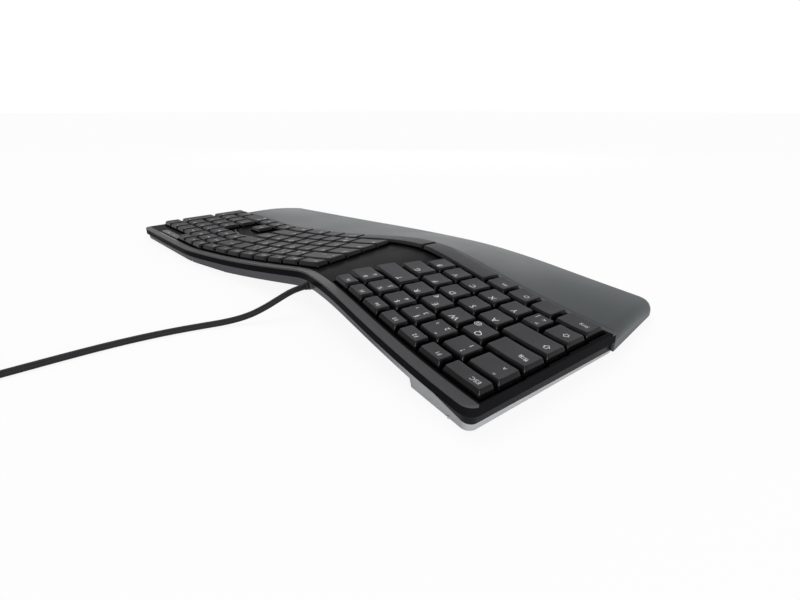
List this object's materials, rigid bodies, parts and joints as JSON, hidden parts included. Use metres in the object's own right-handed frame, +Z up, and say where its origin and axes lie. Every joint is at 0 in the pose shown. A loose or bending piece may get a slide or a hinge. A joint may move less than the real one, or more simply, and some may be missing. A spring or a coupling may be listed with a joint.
{
  "type": "ergonomic keyboard",
  "caption": "Wired ergonomic keyboard with two key fields falling away from a raised crest, a number block, a padded palm rest and an arched underside.",
  "frame": {"origin": "middle of the keyboard's base on the desk, cable left out", "axes": "+X to the typist's right, +Y towards the cable side, +Z up"},
  "size_m": [0.4769, 0.5146, 0.0343],
  "materials": {
    "key_black": "fine satin grain",
    "case_black": "satin",
    "shell_grey": "satin",
    "satin_grey": "satin",
    "smoked": "smoked gloss",
    "silicone": "matte",
    "membrane": "printed film",
    "steel": "rolled",
    "pad_foam": "smooth synthetic skin over foam",
    "board": "solder mask",
    "screw_steel": "zinc plated",
    "foot_rubber": "matte",
    "cable_rubber": "matte jacket",
    "tie_black": "matte",
    "plug_black": "moulded",
    "plug_metal": "nickel plated"
  },
  "bodies": {
    "housing": {"bottom_shell": "shell_grey", "cable_coil": "cable_rubber", "cable_gland": "cable_rubber", "cable_tie": "tie_black", "controller_board": "board", "dome_mat": "silicone", "front_trim_strip": "satin_grey", "housing_screws": "screw_steel", "indicator_window": "smoked", "membrane_sheet": "membrane", "palm_rest_base": "case_black", "palm_rest_pad": "pad_foam", "plug_contact": "plug_metal", "plug_grip": "plug_black", "plug_lead": "cable_rubber", "rear_trim_strip": "satin_grey", "rubber_feet": "foot_rubber", "steel_back_plate": "steel", "top_case": "case_black", "usb_cable": "cable_rubber"},
    "arrow_row": {"arrow_row": "key_black"},
    "digit_keys_left": {"digit_keys_left": "key_black"},
    "digit_keys_right": {"digit_keys_right": "key_black"},
    "function_keys_left": {"function_keys_left": "key_black"},
    "function_keys_right": {"function_keys_right": "key_black"},
    "home_letters_left": {"home_letters_left": "key_black"},
    "home_letters_right": {"home_letters_right": "key_black"},
    "key_arrow_up": {"key_arrow_up": "key_black"},
    "key_backspace": {"key_backspace": "key_black"},
    "key_caps_lock": {"key_caps_lock": "key_black"},
    "key_control_left": {"key_control_left": "key_black"},
    "key_control_right": {"key_control_right": "key_black"},
    "key_digit_6": {"key_digit_6": "key_black"},
    "key_digit_7": {"key_digit_7": "key_black"},
    "key_enter": {"key_enter": "key_black"},
    "key_escape": {"key_escape": "key_black"},
    "key_letter_g": {"key_letter_g": "key_black"},
    "key_letter_h": {"key_letter_h": "key_black"},
    "key_letter_n": {"key_letter_n": "key_black"},
    "key_letter_t": {"key_letter_t": "key_black"},
    "key_letter_z": {"key_letter_z": "key_black"},
    "key_num_0": {"key_num_0": "key_black"},
    "key_num_enter": {"key_num_enter": "key_black"},
    "key_num_plus": {"key_num_plus": "key_black"},
    "key_plus": {"key_plus": "key_black"},
    "key_shift_left": {"key_shift_left": "key_black"},
    "key_shift_right": {"key_shift_right": "key_black"},
    "key_tab": {"key_tab": "key_black"},
    "lower_letters_left": {"lower_letters_left": "key_black"},
    "lower_letters_right": {"lower_letters_right": "key_black"},
    "media_keys": {"media_keys": "key_black"},
    "modifier_keys_left": {"modifier_keys_left": "key_black"},
    "modifier_keys_right": {"modifier_keys_right": "key_black"},
    "navigation_keys": {"navigation_keys": "key_black"},
    "number_block_keys": {"number_block_keys": "key_black"},
    "number_block_top": {"number_block_top": "key_black"},
    "space_bar_left": {"space_bar_left": "key_black"},
    "space_bar_right": {"space_bar_right": "key_black"},
    "upper_letters_left": {"upper_letters_left": "key_black"},
    "upper_letters_right": {"upper_letters_right": "key_black"}
  },
  "joints": [
    {"name": "arrow_row_press", "type": "slide", "parent": "housing", "child": "arrow_row", "axis": [-0.018, 0, -0.9998], "range_m": [0, 0.0024], "stiffness_N_per_m": 240, "springref_m": -0.0005},
    {"name": "digit_keys_left_press", "type": "slide", "parent": "housing", "child": "digit_keys_left", "axis": [0.107, 0, -0.9943], "range_m": [0, 0.0024], "stiffness_N_per_m": 240, "springref_m": -0.0005},
    {"name": "digit_keys_right_press", "type": "slide", "parent": "housing", "child": "digit_keys_right", "axis": [-0.088, 0, -0.9961], "range_m": [0, 0.0024], "stiffness_N_per_m": 240, "springref_m": -0.0005},
    {"name": "function_keys_left_press", "type": "slide", "parent": "housing", "child": "function_keys_left", "axis": [0.102, 0, -0.9948], "range_m": [0, 0.0024], "stiffness_N_per_m": 240, "springref_m": -0.0005},
    {"name": "function_keys_right_press", "type": "slide", "parent": "housing", "child": "function_keys_right", "axis": [-0.1025, 0, -0.9947], "range_m": [0, 0.0024], "stiffness_N_per_m": 240, "springref_m": -0.0005},
    {"name": "home_letters_left_press", "type": "slide", "parent": "housing", "child": "home_letters_left", "axis": [0.1165, 0, -0.9932], "range_m": [0, 0.0024], "stiffness_N_per_m": 240, "springref_m": -0.0005},
    {"name": "home_letters_right_press", "type": "slide", "parent": "housing", "child": "home_letters_right", "axis": [-0.0872, 0, -0.9962], "range_m": [0, 0.0024], "stiffness_N_per_m": 240, "springref_m": -0.0005},
    {"name": "key_arrow_up_press", "type": "slide", "parent": "housing", "child": "key_arrow_up", "axis": [-0.0172, 0, -0.9999], "range_m": [0, 0.0024], "stiffness_N_per_m": 240, "springref_m": -0.0005},
    {"name": "key_backspace_press", "type": "slide", "parent": "housing", "child": "key_backspace", "axis": [-0.0383, 0, -0.9993], "range_m": [0, 0.0024], "stiffness_N_per_m": 240, "springref_m": -0.0005},
    {"name": "key_caps_lock_press", "type": "slide", "parent": "housing", "child": "key_caps_lock", "axis": [0.0839, 0, -0.9965], "range_m": [0, 0.0024], "stiffness_N_per_m": 240, "springref_m": -0.0005},
    {"name": "key_control_left_press", "type": "slide", "parent": "housing", "child": "key_control_left", "axis": [0.0769, 0, -0.997], "range_m": [0, 0.0024], "stiffness_N_per_m": 240, "springref_m": -0.0005},
    {"name": "key_control_right_press", "type": "slide", "parent": "housing", "child": "key_control_right", "axis": [-0.0392, 0, -0.9992], "range_m": [0, 0.0024], "stiffness_N_per_m": 240, "springref_m": -0.0005},
    {"name": "key_digit_6_press", "type": "slide", "parent": "housing", "child": "key_digit_6", "axis": [0.0545, 0, -0.9985], "range_m": [0, 0.0024], "stiffness_N_per_m": 240, "springref_m": -0.0005},
    {"name": "key_digit_7_press", "type": "slide", "parent": "housing", "child": "key_digit_7", "axis": [-0.1215, 0, -0.9926], "range_m": [0, 0.0024], "stiffness_N_per_m": 240, "springref_m": -0.0005},
    {"name": "key_enter_press", "type": "slide", "parent": "housing", "child": "key_enter", "axis": [-0.0379, 0, -0.9993], "range_m": [0, 0.0024], "stiffness_N_per_m": 240, "springref_m": -0.0005},
    {"name": "key_escape_press", "type": "slide", "parent": "housing", "child": "key_escape", "axis": [0.0845, 0, -0.9964], "range_m": [0, 0.0024], "stiffness_N_per_m": 240, "springref_m": -0.0005},
    {"name": "key_letter_g_press", "type": "slide", "parent": "housing", "child": "key_letter_g", "axis": [0.087, 0, -0.9962], "range_m": [0, 0.0024], "stiffness_N_per_m": 240, "springref_m": -0.0005},
    {"name": "key_letter_h_press", "type": "slide", "parent": "housing", "child": "key_letter_h", "axis": [-0.1227, 0, -0.9924], "range_m": [0, 0.0024], "stiffness_N_per_m": 240, "springref_m": -0.0005},
    {"name": "key_letter_n_press", "type": "slide", "parent": "housing", "child": "key_letter_n", "axis": [-0.1234, 0, -0.9924], "range_m": [0, 0.0024], "stiffness_N_per_m": 240, "springref_m": -0.0005},
    {"name": "key_letter_t_press", "type": "slide", "parent": "housing", "child": "key_letter_t", "axis": [0.0815, 0, -0.9967], "range_m": [0, 0.0024], "stiffness_N_per_m": 240, "springref_m": -0.0005},
    {"name": "key_letter_z_press", "type": "slide", "parent": "housing", "child": "key_letter_z", "axis": [-0.1208, 0, -0.9927], "range_m": [0, 0.0024], "stiffness_N_per_m": 240, "springref_m": -0.0005},
    {"name": "key_num_0_press", "type": "slide", "parent": "housing", "child": "key_num_0", "axis": [-0.0055, 0, -1], "range_m": [0, 0.0024], "stiffness_N_per_m": 240, "springref_m": -0.0005},
    {"name": "key_num_enter_press", "type": "slide", "parent": "housing", "child": "key_num_enter", "axis": [-0.0014, 0, -1], "range_m": [0, 0.0024], "stiffness_N_per_m": 240, "springref_m": -0.0005},
    {"name": "key_num_plus_press", "type": "slide", "parent": "housing", "child": "key_num_plus", "axis": [-0.0014, 0, -1], "range_m": [0, 0.0024], "stiffness_N_per_m": 240, "springref_m": -0.0005},
    {"name": "key_plus_press", "type": "slide", "parent": "housing", "child": "key_plus", "axis": [-0.0407, 0, -0.9992], "range_m": [0, 0.0024], "stiffness_N_per_m": 240, "springref_m": -0.0005},
    {"name": "key_shift_left_press", "type": "slide", "parent": "housing", "child": "key_shift_left", "axis": [0.0758, 0, -0.9971], "range_m": [0, 0.0024], "stiffness_N_per_m": 240, "springref_m": -0.0005},
    {"name": "key_shift_right_press", "type": "slide", "parent": "housing", "child": "key_shift_right", "axis": [-0.0419, 0, -0.9991], "range_m": [0, 0.0024], "stiffness_N_per_m": 240, "springref_m": -0.0005},
    {"name": "key_tab_press", "type": "slide", "parent": "housing", "child": "key_tab", "axis": [0.0825, 0, -0.9966], "range_m": [0, 0.0024], "stiffness_N_per_m": 240, "springref_m": -0.0005},
    {"name": "lower_letters_left_press", "type": "slide", "parent": "housing", "child": "lower_letters_left", "axis": [0.1091, 0, -0.994], "range_m": [0, 0.0024], "stiffness_N_per_m": 240, "springref_m": -0.0005},
    {"name": "lower_letters_right_press", "type": "slide", "parent": "housing", "child": "lower_letters_right", "axis": [-0.0892, 0, -0.996], "range_m": [0, 0.0024], "stiffness_N_per_m": 240, "springref_m": -0.0005},
    {"name": "media_keys_press", "type": "slide", "parent": "housing", "child": "media_keys", "axis": [-0.0286, 0, -0.9996], "range_m": [0, 0.0024], "stiffness_N_per_m": 240, "springref_m": -0.0005},
    {"name": "modifier_keys_left_press", "type": "slide", "parent": "housing", "child": "modifier_keys_left", "axis": [0.1105, 0, -0.9939], "range_m": [0, 0.0024], "stiffness_N_per_m": 240, "springref_m": -0.0005},
    {"name": "modifier_keys_right_press", "type": "slide", "parent": "housing", "child": "modifier_keys_right", "axis": [-0.0806, 0, -0.9967], "range_m": [0, 0.0024], "stiffness_N_per_m": 240, "springref_m": -0.0005},
    {"name": "navigation_keys_press", "type": "slide", "parent": "housing", "child": "navigation_keys", "axis": [-0.018, 0, -0.9998], "range_m": [0, 0.0024], "stiffness_N_per_m": 240, "springref_m": -0.0005},
    {"name": "number_block_keys_press", "type": "slide", "parent": "housing", "child": "number_block_keys", "axis": [-0.0044, 0, -1], "range_m": [0, 0.0024], "stiffness_N_per_m": 240, "springref_m": -0.0005},
    {"name": "number_block_top_press", "type": "slide", "parent": "housing", "child": "number_block_top", "axis": [-0.0038, 0, -1], "range_m": [0, 0.0024], "stiffness_N_per_m": 240, "springref_m": -0.0005},
    {"name": "space_bar_left_press", "type": "slide", "parent": "housing", "child": "space_bar_left", "axis": [0.081, 0, -0.9967], "range_m": [0, 0.0024], "stiffness_N_per_m": 240, "springref_m": -0.0005},
    {"name": "space_bar_right_press", "type": "slide", "parent": "housing", "child": "space_bar_right", "axis": [-0.109, 0, -0.994], "range_m": [0, 0.0024], "stiffness_N_per_m": 240, "springref_m": -0.0005},
    {"name": "upper_letters_left_press", "type": "slide", "parent": "housing", "child": "upper_letters_left", "axis": [0.1158, 0, -0.9933], "range_m": [0, 0.0024], "stiffness_N_per_m": 240, "springref_m": -0.0005},
    {"name": "upper_letters_right_press", "type": "slide", "parent": "housing", "child": "upper_letters_right", "axis": [-0.0934, 0, -0.9956], "range_m": [0, 0.0024], "stiffness_N_per_m": 240, "springref_m": -0.0005}
  ]
}
